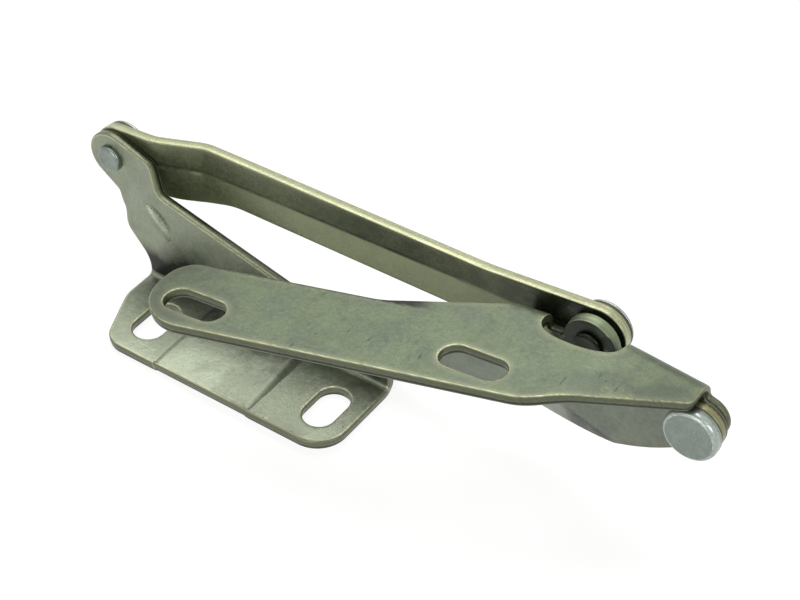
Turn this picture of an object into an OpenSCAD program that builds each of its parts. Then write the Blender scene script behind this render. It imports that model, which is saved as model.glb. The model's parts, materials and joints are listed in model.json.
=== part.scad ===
// Bonnet hinge of pressed steel: a four-bar linkage of a base bracket, a long link,
// a short link and a hood bracket, held together by four stepped rivets.
// X runs along the hinge, Y across the sheets, Z up from the mounting face.

/* [Sheet] */
// Thickness of every pressed sheet
sheet = 3; // [2.5:0.1:3.2]
// Inner radius of the two right-angle folds
fold_r = 2; // [1.5:0.1:2.1]

/* [Base bracket] */
// Distance between the two bolt slots of the base
base_slot_pitch = 57; // [50:0.5:66]
// Width of a base slot, for an M8 bolt
base_slot_w = 9; // [7:0.1:11]
// Length of a base slot, end to end
base_slot_len = 15; // [12:0.5:17]
// Depth of the base flange in front of the slot line
base_front = 13.2; // [11:0.2:16]
// Distance from the slot line to the front face of the upright web
web_front = 14.5; // [13:0.1:17]
// Sheet between the left slot's middle and the left end of the flange
base_left_margin = 14; // [12:0.5:18]
// Sheet between the right slot's middle and the right end of the flange
base_right_margin = 9.9; // [8:0.1:15]
// Rise of the middle panel where it meets the web
panel_rise = 2; // [0.5:0.1:2.5]

/* [Pivots] */
// Pivot of the long link on the base, X
pivot_a_x = -57; // [-60:0.5:-54]
// Pivot of the long link on the base, Z
pivot_a_z = 34; // [32:0.5:36]
// Pivot of the long link on the hood bracket, X
pivot_b_x = 91; // [89:0.5:93]
// Pivot of the long link on the hood bracket, Z
pivot_b_z = 41.5; // [41:0.1:42]
// Pivot of the short link on the base, X
pivot_c_x = 30; // [27:0.5:30.5]
// Pivot of the short link on the base, Z
pivot_c_z = 12; // [11.5:0.1:14]
// Pivot of the short link on the hood bracket, X
pivot_d_x = 122.5; // [120:0.5:124]
// Pivot of the short link on the hood bracket, Z
pivot_d_z = 34.3; // [33:0.1:34.4]

/* [Links] */
// End radius of the long link
long_end_r = 7.6; // [7:0.1:8]
// Height of the long link's body
long_body_h = 15; // [13:0.2:17]
// End radius of the short link at the hood bracket
short_end_r = 6.9; // [6.6:0.1:7]
// End radius of the short link at the base
short_root_r = 8; // [7.6:0.1:8.4]
// Angle that the long link's lower band is folded forwards
long_band_angle = 9; // [4:0.5:10]
// Angle that the short link's lower edge is folded backwards
short_band_angle = 20; // [10:1:32]

/* [Hood bracket] */
// Width of the hood plate, across its length
plate_w = 24.4; // [22:0.2:26]
// Angle of the plate to the links, seen from above
plate_skew = 11.4; // [10:0.1:12]
// Rise of the plate from its free end to the crest
plate_tilt = 6.84; // [6:0.1:8]
// Fall of the plate beyond the crest
crest_fall = 4.97; // [4:0.1:6]
// Width of a hood slot
hood_slot_w = 8; // [6:0.1:9]
// Length of a hood slot, end to end
hood_slot_len = 18; // [14:0.5:20]

/* [Rivets] */
// Radius of the two back heads of the long link's rivets
back_head_r = 7.3; // [6.6:0.1:7.6]
// Radius of the large button head at the end of the short link
button_r = 7.3; // [6.6:0.1:7.4]
// Height of that button head
button_h = 3; // [2:0.1:4]
// Radius of the turning shoulder of a rivet
shoulder_r = 4; // [3.6:0.1:4.4]
// Radius of the thinner end that is peened over
tenon_r = 3; // [2.4:0.1:3.2]
// Radius of a peened end
peen_r = 3.8; // [3.5:0.1:4.4]
// Height of a peened end
peen_h = 1.5; // [1:0.1:2]

/* [Bushes and washers] */
// Wall of the plain bushes pressed into the links
bush_wall = 0.8; // [0.6:0.1:1]
// Thickness of a bush flange
flange_t = 0.7; // [0.5:0.1:1]
// Thickness of the two loose spacer washers
washer_t = 1.2; // [1:0.1:1.6]
// Width of the washer behind the raised ear, from its bore to its rim
washer_w = 1.4; // [1:0.1:2.2]

/* [Clearances] */
// Radial clearance between a rivet's shoulder and its bush
turn_gap = 0.05; // [0.02:0.01:0.1]
// Clearance between two parts that turn face to face
side_gap = 0.1; // [0.05:0.01:0.2]
// Clearance between the short link's end and the hood bracket's fold above it
end_gap = 0.5; // [0.3:0.1:1.5]
// Extra radius of the short link's root bush, which lets the linkage close
open_gap = 2.4; // [2.2:0.1:2.5]

/* [Hidden] */
$fn = 64;

pivot_a = [pivot_a_x, pivot_a_z];
pivot_b = [pivot_b_x, pivot_b_z];
pivot_c = [pivot_c_x, pivot_c_z];
pivot_d = [pivot_d_x, pivot_d_z];

// The layers across the hinge, front to back
outer_r = fold_r + sheet;
web_back = web_front + sheet;
short_front = web_back + washer_t + side_gap;
short_back = short_front + sheet;
ear_front = short_front;
ear_back = ear_front + sheet;
long_a_front = ear_back + 2 * side_gap;
long_a_back = long_a_front + sheet;
hood_front = short_back + 3 * side_gap;
hood_back = hood_front + sheet;
long_b_front = hood_back + washer_t + 2 * side_gap;
long_b_back = long_b_front + sheet;

fit = 0.02;              // all round a part that is pressed into another
root_shoulder_r = 3.3;   // shoulder of the rivet in the base web
end_shoulder_r = 4.5;    // shoulder of the rivet under the button head
root_bush_wall = 0.5;    // wall of the wide bush at the short link's root
root_head_r = 8;         // head that covers that wide bush
head_t = 1.5;            // height of a back head
ear_r = 7.5;             // round end of the base bracket's ear
hood_ear_r = 7.2;        // raised ear of the hood bracket
hood_end_r = 6;          // round lower end of its web
reach = 200;             // longer than any part of the hinge

// Ends of the base flange
base_left = -base_slot_pitch / 2 - base_left_margin;
base_right = base_slot_pitch / 2 + base_right_margin;

// Joggle between the base web and its ear
joggle_angle = 42;
joggle_mid = pivot_a + [11.2, -5.6];
joggle_w = 7;
joggle_r = sheet + 0.5;

// Step of the long link behind its end at the base
long_step_x = [pivot_a_x + 12, pivot_a_x + 26];
long_step_r = 6;

// Fold line of each link's lower band, as its two ends in X and Z, and how far the
// band leans at places along X, as a share of its full angle
long_fold = [pivot_a + [26, 2.6], pivot_b - [20, 1.9]];
long_lean = [[pivot_a_x + 26, 0], [pivot_a_x + 37, 1], [pivot_b_x - 31, 1], [pivot_b_x - 20, 0]];
short_fold = [pivot_c + [30, 18.8], pivot_d - [10.5, 19.7]];
short_lean = [[pivot_c_x + 30, 0], [pivot_c_x + 48, 1], [pivot_d_x - 10.5, 1]];

// Hood plate
plate_left = -13.3;
plate_right = pivot_d_x - 0.1;
plate_axis_y = -9;           // middle of the plate's width where it crosses X = 20
flare_x = pivot_b_x - 50;    // where the plate starts to widen towards its web
web_left = pivot_b_x - 19;   // where the folded web starts
crest_x = pivot_b_x + 7;
crest_r = 25;
ear_cut = [pivot_b_x - 11.5, pivot_b_x + 10]; // cut-out in the fold round the raised ear
ear_cut_depth = 5;
hood_slots = [[1.1, -16.2], [73.8, -1.7]];

// The plate's underside clears the short link's end under the fold, and the button
fillet_y = fold_r - 3 * side_gap;
over_end = short_end_r + end_gap + fold_r - sqrt(fold_r * fold_r - fillet_y * fillet_y);
over_button = button_r + 2 * end_gap;
crest_z = pivot_d_z + max(over_end, over_button) + sheet + (pivot_d_x - crest_x) * tan(crest_fall);

// ---------- outlines ----------

function unit(v) = v / norm(v);

// Points of one corner rounded to radius r, between its neighbours
function corner(before, here, after, r, n = 6) =
    let (
        a = unit(before - here),
        b = unit(after - here),
        half = acos(a * b) / 2,
        middle = here + unit(a + b) * r / sin(half),
        start = here + a * r / tan(half) - middle,
        turn = (cross(a, b) < 0 ? 1 : -1) * (180 - 2 * half)
    )
    [for (i = [0:n])
        let (w = turn * i / n)
        middle + [start[0] * cos(w) - start[1] * sin(w), start[0] * sin(w) + start[1] * cos(w)]
    ];

function flat(p) = [p[0], p[1]];

// Closed outline of [x, y, radius] corners
function outline(p) = [
    for (i = [0:len(p) - 1])
        let (before = flat(p[(i + len(p) - 1) % len(p)]), after = flat(p[(i + 1) % len(p)]))
        each (p[i][2] > 0 ? corner(before, flat(p[i]), after, p[i][2]) : [flat(p[i])])
];

// Open path of [x, y, radius] corners
function path(p) = [
    for (i = [0:len(p) - 1])
        each (i > 0 && i < len(p) - 1 && p[i][2] > 0
            ? corner(flat(p[i - 1]), flat(p[i]), flat(p[i + 1]), p[i][2])
            : [flat(p[i])])
];

function left_normal(p, q) = let (d = unit(q - p)) [-d[1], d[0]];

// Point i of a path moved t to its left, square to the path
function moved(p, i, t) =
    let (
        n1 = left_normal(p[max(i - 1, 0)], p[max(i, 1)]),
        n2 = left_normal(p[min(i, len(p) - 2)], p[min(i + 1, len(p) - 1)]),
        m = unit(n1 + n2)
    )
    p[i] + m * t / (m * n1);

// Section of a sheet of thickness t, laid to the left of a path
function section(p, t) = concat(p, [for (i = [len(p) - 1:-1:0]) moved(p, i, t)]);

function bezier(p0, p1, p2, p3, n = 10) = [
    for (i = [0:n])
        let (s = i / n, r = 1 - s)
        r * r * r * p0 + 3 * r * r * s * p1 + 3 * r * s * s * p2 + s * s * s * p3
];

// Height of the hood plate's top face, and of the line along its slope
function plate_z(x) = crest_z - (crest_x - x) * tan(x < crest_x ? plate_tilt : -crest_fall);

// ---------- building blocks ----------

// A shape drawn in X and Z, from depth y back over t
module upright(y, t) {
    translate([0, y + t, 0])
        rotate([90, 0, 0])
            linear_extrude(t)
                children();
}

// A shape drawn in Y and Z, from x over length l
module along(x, l) {
    translate([x, 0, 0])
        rotate([90, 0, 90])
            linear_extrude(l)
                children();
}

// A round-ended slot along X
module slot(w, l) {
    square([l - w, w], center = true);
    for (side = [-1, 1])
        translate([side * (l - w) / 2, 0])
            circle(d = w);
}

module disc_at(p, r) {
    translate(p)
        circle(r);
}

// A hole square through the upright sheets
module bore(p, r, y = 0, l = 60) {
    upright(y, l)
        disc_at(p, r);
}

// A part turned about a pivot, from its half section of [radius, depth] points
module turned(p, points) {
    translate([p[0], 0, p[1]])
        rotate([-90, 0, 0])
            rotate_extrude()
                polygon(points);
}

module ring(p, r_in, r_out, y, t) {
    turned(p, [[r_in, y], [r_out, y], [r_out, y + t], [r_in, y + t]]);
}

// Bush with its flange on the front (side = -1) or on the back (side = 1)
module bush(p, r_in, wall, flange_r, y, side) {
    difference() {
        union() {
            bore(p, r_in + wall, y, sheet);
            bore(p, flange_r, side < 0 ? y - flange_t : y + sheet, flange_t);
        }
        bore(p, r_in);
    }
}

// Half section of a stepped rivet: a peened end at depth seat, towards side,
// its tenon through one sheet, a shoulder, and a head of radius r from depth head
function rivet_points(seat, side, tenon, shoulder, head, r, t, edge) =
    let (peen = seat + side * peen_h)
    concat(
        [[0, peen - side * 0.35], [0.8, peen - side * 0.3], [1.3, peen]],
        [for (a = [0:15:90])
            [peen_r - 0.9 + 0.9 * sin(a), peen - side * 0.9 * (1 - cos(a))]],
        [[peen_r, seat], [tenon, seat], [tenon, seat - side * sheet]],
        [[shoulder, seat - side * sheet], [shoulder, head], [r, head]],
        [for (a = [0:15:90])
            [r - edge + edge * cos(a), head - side * (t - edge + edge * sin(a))]],
        [[0, head - side * t]]
    );

module rivet(p, seat, side, tenon, shoulder, head, r, t, edge) {
    turned(p, rivet_points(seat, side, tenon, shoulder, head, r, t, edge));
}

// ---------- base bracket ----------

// Flange, fold and foot of the web over one stretch of X, raised by rise at the fold
module base_stretch(x0, x1, rise) {
    step = rise > 0 ? 0.3 : 0;
    slope = (rise - step) / (web_back + base_front);
    foot = [
        [-reach, step - slope * (reach - base_front), 0],
        [web_back, rise, outer_r],
        [web_back, 2 * outer_r, 0]
    ];
    along(x0, x1 - x0)
        polygon(section(path(foot), sheet));
}

module base_flange_shape() {
    polygon(outline([
        [base_left, web_back, 0],
        [base_left, 4, 12],
        [base_left + 7.2, -base_front, 7],
        [base_right, -base_front, 9],
        [base_right, web_back, 0]
    ]));
}

module base_web_shape() {
    polygon(outline([
        [base_left, outer_r, 0],
        [base_left, 8.2, 9],
        [pivot_a[0] + 7.2, pivot_a[1] - 17.2, 5],
        [pivot_a[0] + 7.4, pivot_a[1] - 13.4, 2],
        [pivot_a[0] + 4.4, pivot_a[1] - 12.4, 3],
        [pivot_a[0] - 5, pivot_a[1] - 5.55, 0],
        [pivot_a[0] + 3, pivot_a[1] + 6.9, 0],
        [pivot_a[0] + 12.6, pivot_a[1] + 3.6, 5],
        [pivot_a[0] + 20.1, pivot_a[1] - 1.9, 8],
        [pivot_c[0] - 18, pivot_c[1] + 7.8, 14],
        [base_right + 1, pivot_c[1] + 6.6, 6],
        [base_right, outer_r, 0]
    ]));
    disc_at(pivot_a, ear_r);
}

// The web and its ear, a sheet with one joggle
module base_web() {
    ear = ear_front - web_front;
    joggled = [
        [reach, 0, 0],
        [joggle_w / 2, 0, joggle_r],
        [-joggle_w / 2, ear, joggle_r],
        [-reach, ear, 0]
    ];
    intersection() {
        translate([joggle_mid[0], web_front, joggle_mid[1]])
            rotate([0, joggle_angle, 0])
                translate([0, 0, -reach])
                    linear_extrude(2 * reach)
                        polygon(section(path(joggled), -sheet));
        upright(0, 2 * web_back)
            base_web_shape();
    }
}

// A round-ended pressed rib from p to q, its axis at depth y
module rib(p, q, r, y) {
    run = q - p;
    len_run = norm(run);
    translate([p[0], y, p[1]])
        rotate([0, 90 - atan2(run[1], run[0]), 0])
            rotate_extrude()
                polygon(concat(
                    [for (a = [0:15:90]) [r * sin(a), -r * cos(a)]],
                    [for (a = [0:15:90]) [r * cos(a), len_run + r * sin(a)]]
                ));
}

module base_bracket() {
    rib_ends = [pivot_a + [13.8, -6.8], pivot_a + [20.4, -13.6]];
    panel = [-17.9, 12.3];
    color("#9aa387")
    difference() {
        union() {
            intersection() {
                union() {
                    base_stretch(base_left, panel[0], 0);
                    base_stretch(panel[0], panel[1], panel_rise);
                    base_stretch(panel[1], base_right, 0);
                }
                linear_extrude(outer_r + panel_rise)
                    base_flange_shape();
            }
            base_web();
            rib(rib_ends[0], rib_ends[1], 2, web_front + 1.1);
        }
        for (side = [-1, 1])
            translate([side * base_slot_pitch / 2, 0, -1])
                rotate([0, 0, 90])
                    linear_extrude(sheet + 2)
                        slot(base_slot_w, base_slot_len);
        rib(rib_ends[0], rib_ends[1], 1.6, web_back + 0.7);
        bore(pivot_a, tenon_r + fit);
        bore(pivot_c, tenon_r + fit);
    }
}

// ---------- links ----------

// Section of a band in Y and Z: a strip from height z down h, leaning by angle
function band_section(z, h, y, angle) =
    let (lean = h * tan(angle))
    [[y, z], [y + sheet, z], [y + sheet + lean, z - h], [y + lean, z - h]];

function on_line(line, x) =
    line[0][1] + (line[1][1] - line[0][1]) * (x - line[0][0]) / (line[1][0] - line[0][0]);

// Lower band of a link under its fold line, leaning by its share of angle
module folded_band(line, lean, h, y, angle) {
    for (i = [0:len(lean) - 2])
        hull()
            for (stop = [lean[i], lean[i + 1]])
                along(stop[0], 0.01)
                    polygon(band_section(on_line(line, stop[0]), h, y, stop[1] * angle));
}

// The space under a fold line, which a folded band fills
module under_fold(line) {
    upright(0, reach)
        polygon([line[0], line[1], [line[1][0], -reach], [line[0][0], -reach]]);
}

module long_link_shape() {
    top = pivot_a_z + 10.4;
    polygon(outline([
        [pivot_a[0] - 2, pivot_a[1] + long_end_r - 0.27, 0],
        [pivot_a[0], pivot_a[1] - long_end_r, 0],
        [pivot_a_x + 17, pivot_a_z - long_end_r - 1, 30],
        [pivot_a_x + 26, pivot_a_z - long_end_r, 12],
        [pivot_a_x + 37, top - long_body_h, 25],
        [pivot_b_x - 41, top + 1.5 - long_body_h, 40],
        [pivot_b[0] + 1.5, pivot_b[1] - long_end_r + 0.15, 0],
        [pivot_b[0] - 1.5, pivot_b[1] + long_end_r - 0.15, 0],
        [pivot_b_x - 33, top + 1.4, 60],
        [pivot_a_x + 28, top - 0.5, 40]
    ]));
    disc_at(pivot_a, long_end_r);
    disc_at(pivot_b, long_end_r);
}

module long_link() {
    plan = [
        [-reach, long_a_front, 0],
        [long_step_x[0], long_a_front, long_step_r],
        [long_step_x[1], long_b_front, long_step_r],
        [reach, long_b_front, 0]
    ];
    color("#6d7350")
    difference() {
        intersection() {
            union() {
                difference() {
                    linear_extrude(reach)
                        polygon(section(path(plan), sheet));
                    under_fold(long_fold);
                }
                folded_band(long_fold, long_lean, 2 * long_body_h, long_b_front, -long_band_angle);
            }
            upright(0, reach)
                long_link_shape();
        }
        bore(pivot_a, shoulder_r + turn_gap + bush_wall + fit);
        bore(pivot_b, shoulder_r + turn_gap + bush_wall + fit);
    }
}

module short_link_shape() {
    along_link = unit(pivot_d - pivot_c);
    square_to = [along_link[1], -along_link[0]];
    belly = bezier(
        pivot_c + 47.2 * along_link + square_to * (short_root_r + 1.1),
        pivot_c + 60.3 * along_link + square_to * (short_root_r + 4.6),
        pivot_d - 20.5 * along_link + square_to * 14.3,
        pivot_d - 3 * along_link + square_to * (short_end_r - 0.5)
    );
    polygon(concat(
        [pivot_c - square_to * (short_root_r - 0.02), pivot_c + square_to * (short_root_r - 0.02)],
        belly,
        [pivot_d, pivot_d - square_to * (short_end_r - 0.02)]
    ));
    disc_at(pivot_c, short_root_r);
    disc_at(pivot_d, short_end_r);
}

module short_link() {
    color("#8b9384")
    difference() {
        intersection() {
            union() {
                difference() {
                    upright(short_front, sheet)
                        translate([0, -reach / 2])
                            square(reach);
                    under_fold(short_fold);
                }
                folded_band(short_fold, short_lean, 20, short_front, short_band_angle);
            }
            upright(0, reach)
                short_link_shape();
        }
        bore(pivot_c, root_shoulder_r + open_gap + root_bush_wall + fit);
        bore(pivot_d, end_shoulder_r + turn_gap + bush_wall + fit);
    }
}

// ---------- hood bracket ----------

// Point on the plate's length axis, moved side to its rear, seen from above
function plate_edge(x, side) = [x, plate_axis_y + (x - 20) * tan(plate_skew) + side / cos(plate_skew)];

module plate_outline() {
    half = plate_w / 2;
    rear = plate_edge(flare_x, half);
    polygon(outline([
        concat(plate_edge(plate_left, -half), [13]),
        concat(plate_edge(pivot_b_x - 1, -half), [16]),
        [pivot_b_x + 8.4, -0.4, 28],
        [plate_right, hood_front - 7.4, 3],
        [plate_right, hood_back - outer_r, 0],
        [web_left, hood_back - outer_r, 0],
        [web_left, hood_back - 2.6, 0],
        concat(rear, [22]),
        concat(plate_edge(plate_left, half), [8])
    ]));
}

module hood_plate() {
    slope = [
        [reach, plate_z(reach), 0],
        [crest_x, crest_z, crest_r],
        [-reach, plate_z(-reach), 0]
    ];
    intersection() {
        linear_extrude(reach)
            plate_outline();
        upright(-reach / 2, reach)
            polygon(section(path(slope), sheet));
    }
}

// The fold between plate and web from x0 to x1, along the slope of the plate there
module hood_fold(x0, x1) {
    tilt = x0 < crest_x ? plate_tilt : -crest_fall;
    translate([x0, hood_back - outer_r, plate_z(x0) - outer_r])
        rotate([0, -tilt, 0])
            along(0, (x1 - x0) / cos(tilt))
                intersection() {
                    difference() {
                        circle(outer_r);
                        circle(fold_r);
                    }
                    square(outer_r);
                }
}

module hood_web_shape() {
    under = outer_r - 0.01;
    polygon(outline([
        [web_left, plate_z(web_left) - under, 0],
        [web_left, plate_z(web_left) - under - 4.5, 3],
        [pivot_b[0] - 4, pivot_b[1] - hood_ear_r - 1.2, 12],
        [pivot_d[0] - 8, pivot_d[1] - hood_end_r + 0.8, 20],
        [pivot_d[0], pivot_d[1] - hood_end_r, 0],
        [pivot_d[0], pivot_d[1], 0],
        [plate_right, plate_z(plate_right) - under, 0],
        [ear_cut[1], plate_z(ear_cut[1]) - under, 0],
        [ear_cut[0], plate_z(ear_cut[0]) - under, 0]
    ]));
    disc_at(pivot_b, hood_ear_r);
    disc_at(pivot_d, hood_end_r);
}

// Cut-out in the plate in front of the raised ear
module ear_cut_outline() {
    middle = (ear_cut[0] + ear_cut[1]) / 2;
    half = (ear_cut[1] - ear_cut[0]) / 2;
    front = hood_back - outer_r - ear_cut_depth;
    polygon(concat(
        [[ear_cut[1], hood_back + 1], [ear_cut[0], hood_back + 1]],
        bezier([ear_cut[0], hood_front - 1.5], [middle - half, front + 1],
            [middle - half / 2, front], [middle + 1, front]),
        bezier([middle + 1, front], [middle + 0.7 * half, front],
            [ear_cut[1], front + 2], [ear_cut[1], hood_front - 1])
    ));
}

module hood_bracket() {
    color("#87927c")
    difference() {
        union() {
            difference() {
                union() {
                    hood_plate();
                    hood_fold(web_left, ear_cut[0]);
                    hood_fold(ear_cut[1], plate_right);
                }
                linear_extrude(reach)
                    ear_cut_outline();
            }
            difference() {
                upright(hood_front, sheet)
                    hood_web_shape();
                bore(pivot_b, tenon_r + fit);
                bore(pivot_d, tenon_r + fit);
            }
        }
        for (place = hood_slots)
            translate([place[0], place[1], plate_z(place[0])])
                rotate([0, -plate_tilt, 0])
                    translate([0, 0, -2 * sheet])
                        linear_extrude(4 * sheet)
                            slot(hood_slot_w, hood_slot_len);
    }
}

// ---------- rivets, bushes and washers ----------

module rivet_base_ear() {
    color("#a9b0ac")
        rivet(pivot_a, ear_front, -1, tenon_r, shoulder_r, long_a_back + flange_t + side_gap,
            back_head_r, head_t, 1.1);
}

module rivet_hood_ear() {
    color("#a9b0ac")
        rivet(pivot_b, hood_front, -1, tenon_r, shoulder_r, long_b_back + flange_t + side_gap,
            back_head_r, head_t, 1.1);
}

module rivet_base_web() {
    color("#a9b0ac")
        rivet(pivot_c, web_front, -1, tenon_r, root_shoulder_r, short_back + flange_t + side_gap,
            root_head_r, head_t, 1.1);
}

module rivet_hood_end() {
    color("#a9b0ac")
        rivet(pivot_d, hood_back, 1, tenon_r, end_shoulder_r, short_front - flange_t - side_gap,
            button_r, button_h, 1.2);
}

module bush_long_link_base() {
    color("#8a6b4a")
        bush(pivot_a, shoulder_r + turn_gap, bush_wall, long_end_r - 0.4, long_a_front, 1);
}

module bush_long_link_hood() {
    color("#8a6b4a")
        bush(pivot_b, shoulder_r + turn_gap, bush_wall, long_end_r - 0.4, long_b_front, 1);
}

module bush_short_link_base() {
    color("#8a6b4a")
        bush(pivot_c, root_shoulder_r + open_gap, root_bush_wall, short_root_r - 0.3, short_front, 1);
}

module bush_short_link_hood() {
    color("#8a6b4a")
        bush(pivot_d, end_shoulder_r + turn_gap, bush_wall, short_end_r, short_front, -1);
}

module spacer_hood_ear() {
    color("#9aa09c")
        ring(pivot_b, shoulder_r + 0.1, shoulder_r + 0.1 + washer_w, hood_back + side_gap / 2,
            washer_t);
}

module spacer_base_web() {
    color("#9aa09c")
        ring(pivot_c, root_shoulder_r + 0.1, short_root_r - 0.6, web_back + side_gap / 2,
            washer_t - side_gap / 2);
}

base_bracket();
long_link();
short_link();
hood_bracket();
rivet_base_ear();
rivet_hood_ear();
rivet_base_web();
rivet_hood_end();
bush_long_link_base();
bush_long_link_hood();
bush_short_link_base();
bush_short_link_hood();
spacer_hood_ear();
spacer_base_web();
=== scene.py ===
"""Bonnet hinge of pressed, zinc-plated steel: a base bracket, a long and a short link and
a hood bracket on four stepped rivets. Lengths are millimetres until a mesh is made."""

import json
from functools import partial

import bpy
import numpy as np
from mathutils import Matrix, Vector
from mathutils.geometry import delaunay_2d_cdt

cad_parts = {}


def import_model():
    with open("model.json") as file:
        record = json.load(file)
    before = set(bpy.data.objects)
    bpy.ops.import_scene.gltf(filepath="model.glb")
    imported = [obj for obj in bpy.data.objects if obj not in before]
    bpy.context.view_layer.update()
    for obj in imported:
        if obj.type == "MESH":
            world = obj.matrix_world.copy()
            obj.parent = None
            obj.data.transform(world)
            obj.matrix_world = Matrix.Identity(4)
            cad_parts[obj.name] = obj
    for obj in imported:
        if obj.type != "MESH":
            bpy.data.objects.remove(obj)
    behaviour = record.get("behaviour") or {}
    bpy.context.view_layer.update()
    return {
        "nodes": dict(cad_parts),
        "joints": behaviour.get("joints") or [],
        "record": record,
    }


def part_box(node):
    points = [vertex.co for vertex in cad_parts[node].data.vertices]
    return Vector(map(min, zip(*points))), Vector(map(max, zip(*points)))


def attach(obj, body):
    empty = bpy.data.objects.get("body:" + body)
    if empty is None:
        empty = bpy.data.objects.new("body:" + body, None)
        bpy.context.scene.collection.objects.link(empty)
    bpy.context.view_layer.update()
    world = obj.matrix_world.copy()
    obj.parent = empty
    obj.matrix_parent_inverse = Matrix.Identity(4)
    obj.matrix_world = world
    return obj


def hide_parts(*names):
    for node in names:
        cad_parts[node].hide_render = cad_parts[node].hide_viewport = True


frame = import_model()

MM = 0.001

# ---------- driving sizes, from the frame ----------

joint_place = {j["name"]: np.array(j["pos_m"])[[0, 2]] / MM for j in frame["joints"]}
mount_place = {m["name"]: m["pos_m"] for m in frame["record"]["mounts"]}


def low(node):
    """Low corner of a CAD node's box."""
    return np.array(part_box(node)[0]) / MM


def high(node):
    """High corner of a CAD node's box."""
    return np.array(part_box(node)[1]) / MM


def middle(node):
    """Middle of a CAD node's box."""
    return (low(node) + high(node)) / 2


PIVOT_A = joint_place["open_hinge"]
PIVOT_B = joint_place["hood_ear_pivot"]
PIVOT_D = joint_place["hood_end_pivot"]
PIVOT_C = middle("spacer_base_web")[[0, 2]]
HOOD_FACE = mount_place["hood_face"]

SHEET = 3.0
WEB_GAP = 1.3  # room for the washer between the base's web and the short link
EAR_GAP = 1.4  # room for the washer between the raised ear and the long link

# Front faces of the upright sheets, along Y
SHORT_FRONT = low("bush_short_link_base")[1]
WEB_FRONT = SHORT_FRONT - WEB_GAP - SHEET
EAR_FRONT = SHORT_FRONT
LONG_A_FRONT = low("bush_long_link_base")[1]
LONG_B_FRONT = low("bush_long_link_hood")[1]
HOOD_FRONT = LONG_B_FRONT - EAR_GAP - SHEET

# Radii of the bores: rivet tenons in the brackets, bushes in the links
TENON_BORE = 3.02
LONG_BORE = 4.87
SHORT_ROOT_BORE = 6.22
SHORT_END_BORE = 5.37

# ---------- curves in the plane ----------


def arc(centre, radius, start, end, step=0.7):
    """Points at centre + radius * (cos, sin) of angles from start to end, in degrees."""
    count = max(3, int(abs(np.radians(end - start)) * radius / step) + 1)
    turn = np.radians(np.linspace(start, end, count))
    return np.column_stack([centre[0] + radius * np.cos(turn), centre[1] + radius * np.sin(turn)])


def bezier(p0, p1, p2, p3, count=24):
    """Cubic curve: the four points weighted by the Bernstein polynomials of t."""
    t = np.linspace(0, 1, count)[:, None]
    weights = [(1 - t) ** 3, 3 * t * (1 - t) ** 2, 3 * t**2 * (1 - t), t**3]
    return sum(w * np.array(p, float) for w, p in zip(weights, (p0, p1, p2, p3)))


def touch(point, centre, radius, side):
    """Angle on a circle at which a line from an outside point just touches it."""
    away = np.array(point) - np.array(centre)
    return np.degrees(np.arctan2(away[1], away[0]) + side * np.arccos(radius / np.hypot(*away)))


def round_end(before, centre, radius, after, turn=1):
    """Arc about centre from the line that comes from before to the line that goes on to after. It
    touches both, and turn is 1 anticlockwise or -1 clockwise."""
    start = touch(before, centre, radius, turn)
    end = touch(after, centre, radius, -turn)
    return arc(centre, radius, start, start + turn * (turn * (end - start) % 360))


def rounded_corner(before, here, after, radius):
    """Arc of that radius which touches both lines that meet at a corner."""
    a = (before - here) / np.hypot(*(before - here))
    b = (after - here) / np.hypot(*(after - here))
    half = np.arccos(np.clip(a @ b, -1, 1)) / 2
    centre = here + (a + b) / np.hypot(*(a + b)) * radius / np.sin(half)
    first = here + a * radius / np.tan(half) - centre
    last = here + b * radius / np.tan(half) - centre
    start = np.degrees(np.arctan2(first[1], first[0]))
    swing = np.degrees(np.arctan2(last[1], last[0])) - start
    return arc(centre, radius, start, start + (swing + 180) % 360 - 180)


def outline(*items):
    """Closed loop from corners (x, y, radius) and from runs of ready-made points."""
    runs = [np.atleast_2d(np.array(item, float)) for item in items]
    points = []
    for i, run in enumerate(runs):
        if run.shape[1] == 3 and run[0, 2] > 0:
            before = runs[i - 1][-1, :2]
            after = runs[(i + 1) % len(runs)][0, :2]
            points.append(rounded_corner(before, run[0, :2], after, run[0, 2]))
        else:
            points.append(run[:, :2])
    return np.vstack(points)


def even(loop, step=0.7):
    """The same loop with its points evenly spaced along it."""
    closed = np.vstack([loop, loop[:1]])
    along = np.concatenate([[0], np.cumsum(np.hypot(*np.diff(closed, axis=0).T))])
    keep = np.concatenate([[True], np.diff(along) > 1e-9])
    count = int(along[-1] / step)
    at = np.linspace(0, along[-1], count, endpoint=False)
    return np.column_stack([np.interp(at, along[keep], closed[keep, k]) for k in (0, 1)])


def stadium(centre, width, length, angle=0):
    """Round-ended slot, its length turned by angle from the first axis."""
    reach = (length - width) / 2
    ends = np.vstack([arc((reach, 0), width / 2, -90, 90), arc((-reach, 0), width / 2, 90, 270)])
    turn = np.radians(angle)
    spin = np.array([[np.cos(turn), np.sin(turn)], [-np.sin(turn), np.cos(turn)]])
    return ends @ spin + np.array(centre)


def inside(points, loop):
    """Even-odd rule: a point is inside where a ray from it crosses the loop an odd number of times."""
    x, y = points[:, 0, None], points[:, 1, None]
    x0, y0 = loop[:, 0], loop[:, 1]
    x1, y1 = np.roll(x0, -1), np.roll(y0, -1)
    spans = (y0 > y) != (y1 > y)
    rise = np.where(y1 == y0, 1, y1 - y0)
    return (spans & (x < (x1 - x0) * (y - y0) / rise + x0)).sum(1) % 2 == 1


def nearest(points, others):
    """Distance from each point to the closest of the others."""
    best = np.empty(len(points))
    for i in range(0, len(points), 2000):
        part = points[i : i + 2000]
        gap = part[:, None, :] - others[None, :, :]
        best[i : i + 2000] = np.sqrt((gap**2).sum(2).min(1))
    return best


def above_zero(x, soft):
    """x where it is positive and 0 where it isn't, the corner rounded over a width of soft."""
    return (x + np.sqrt(x * x + soft * soft)) / 2


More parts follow.
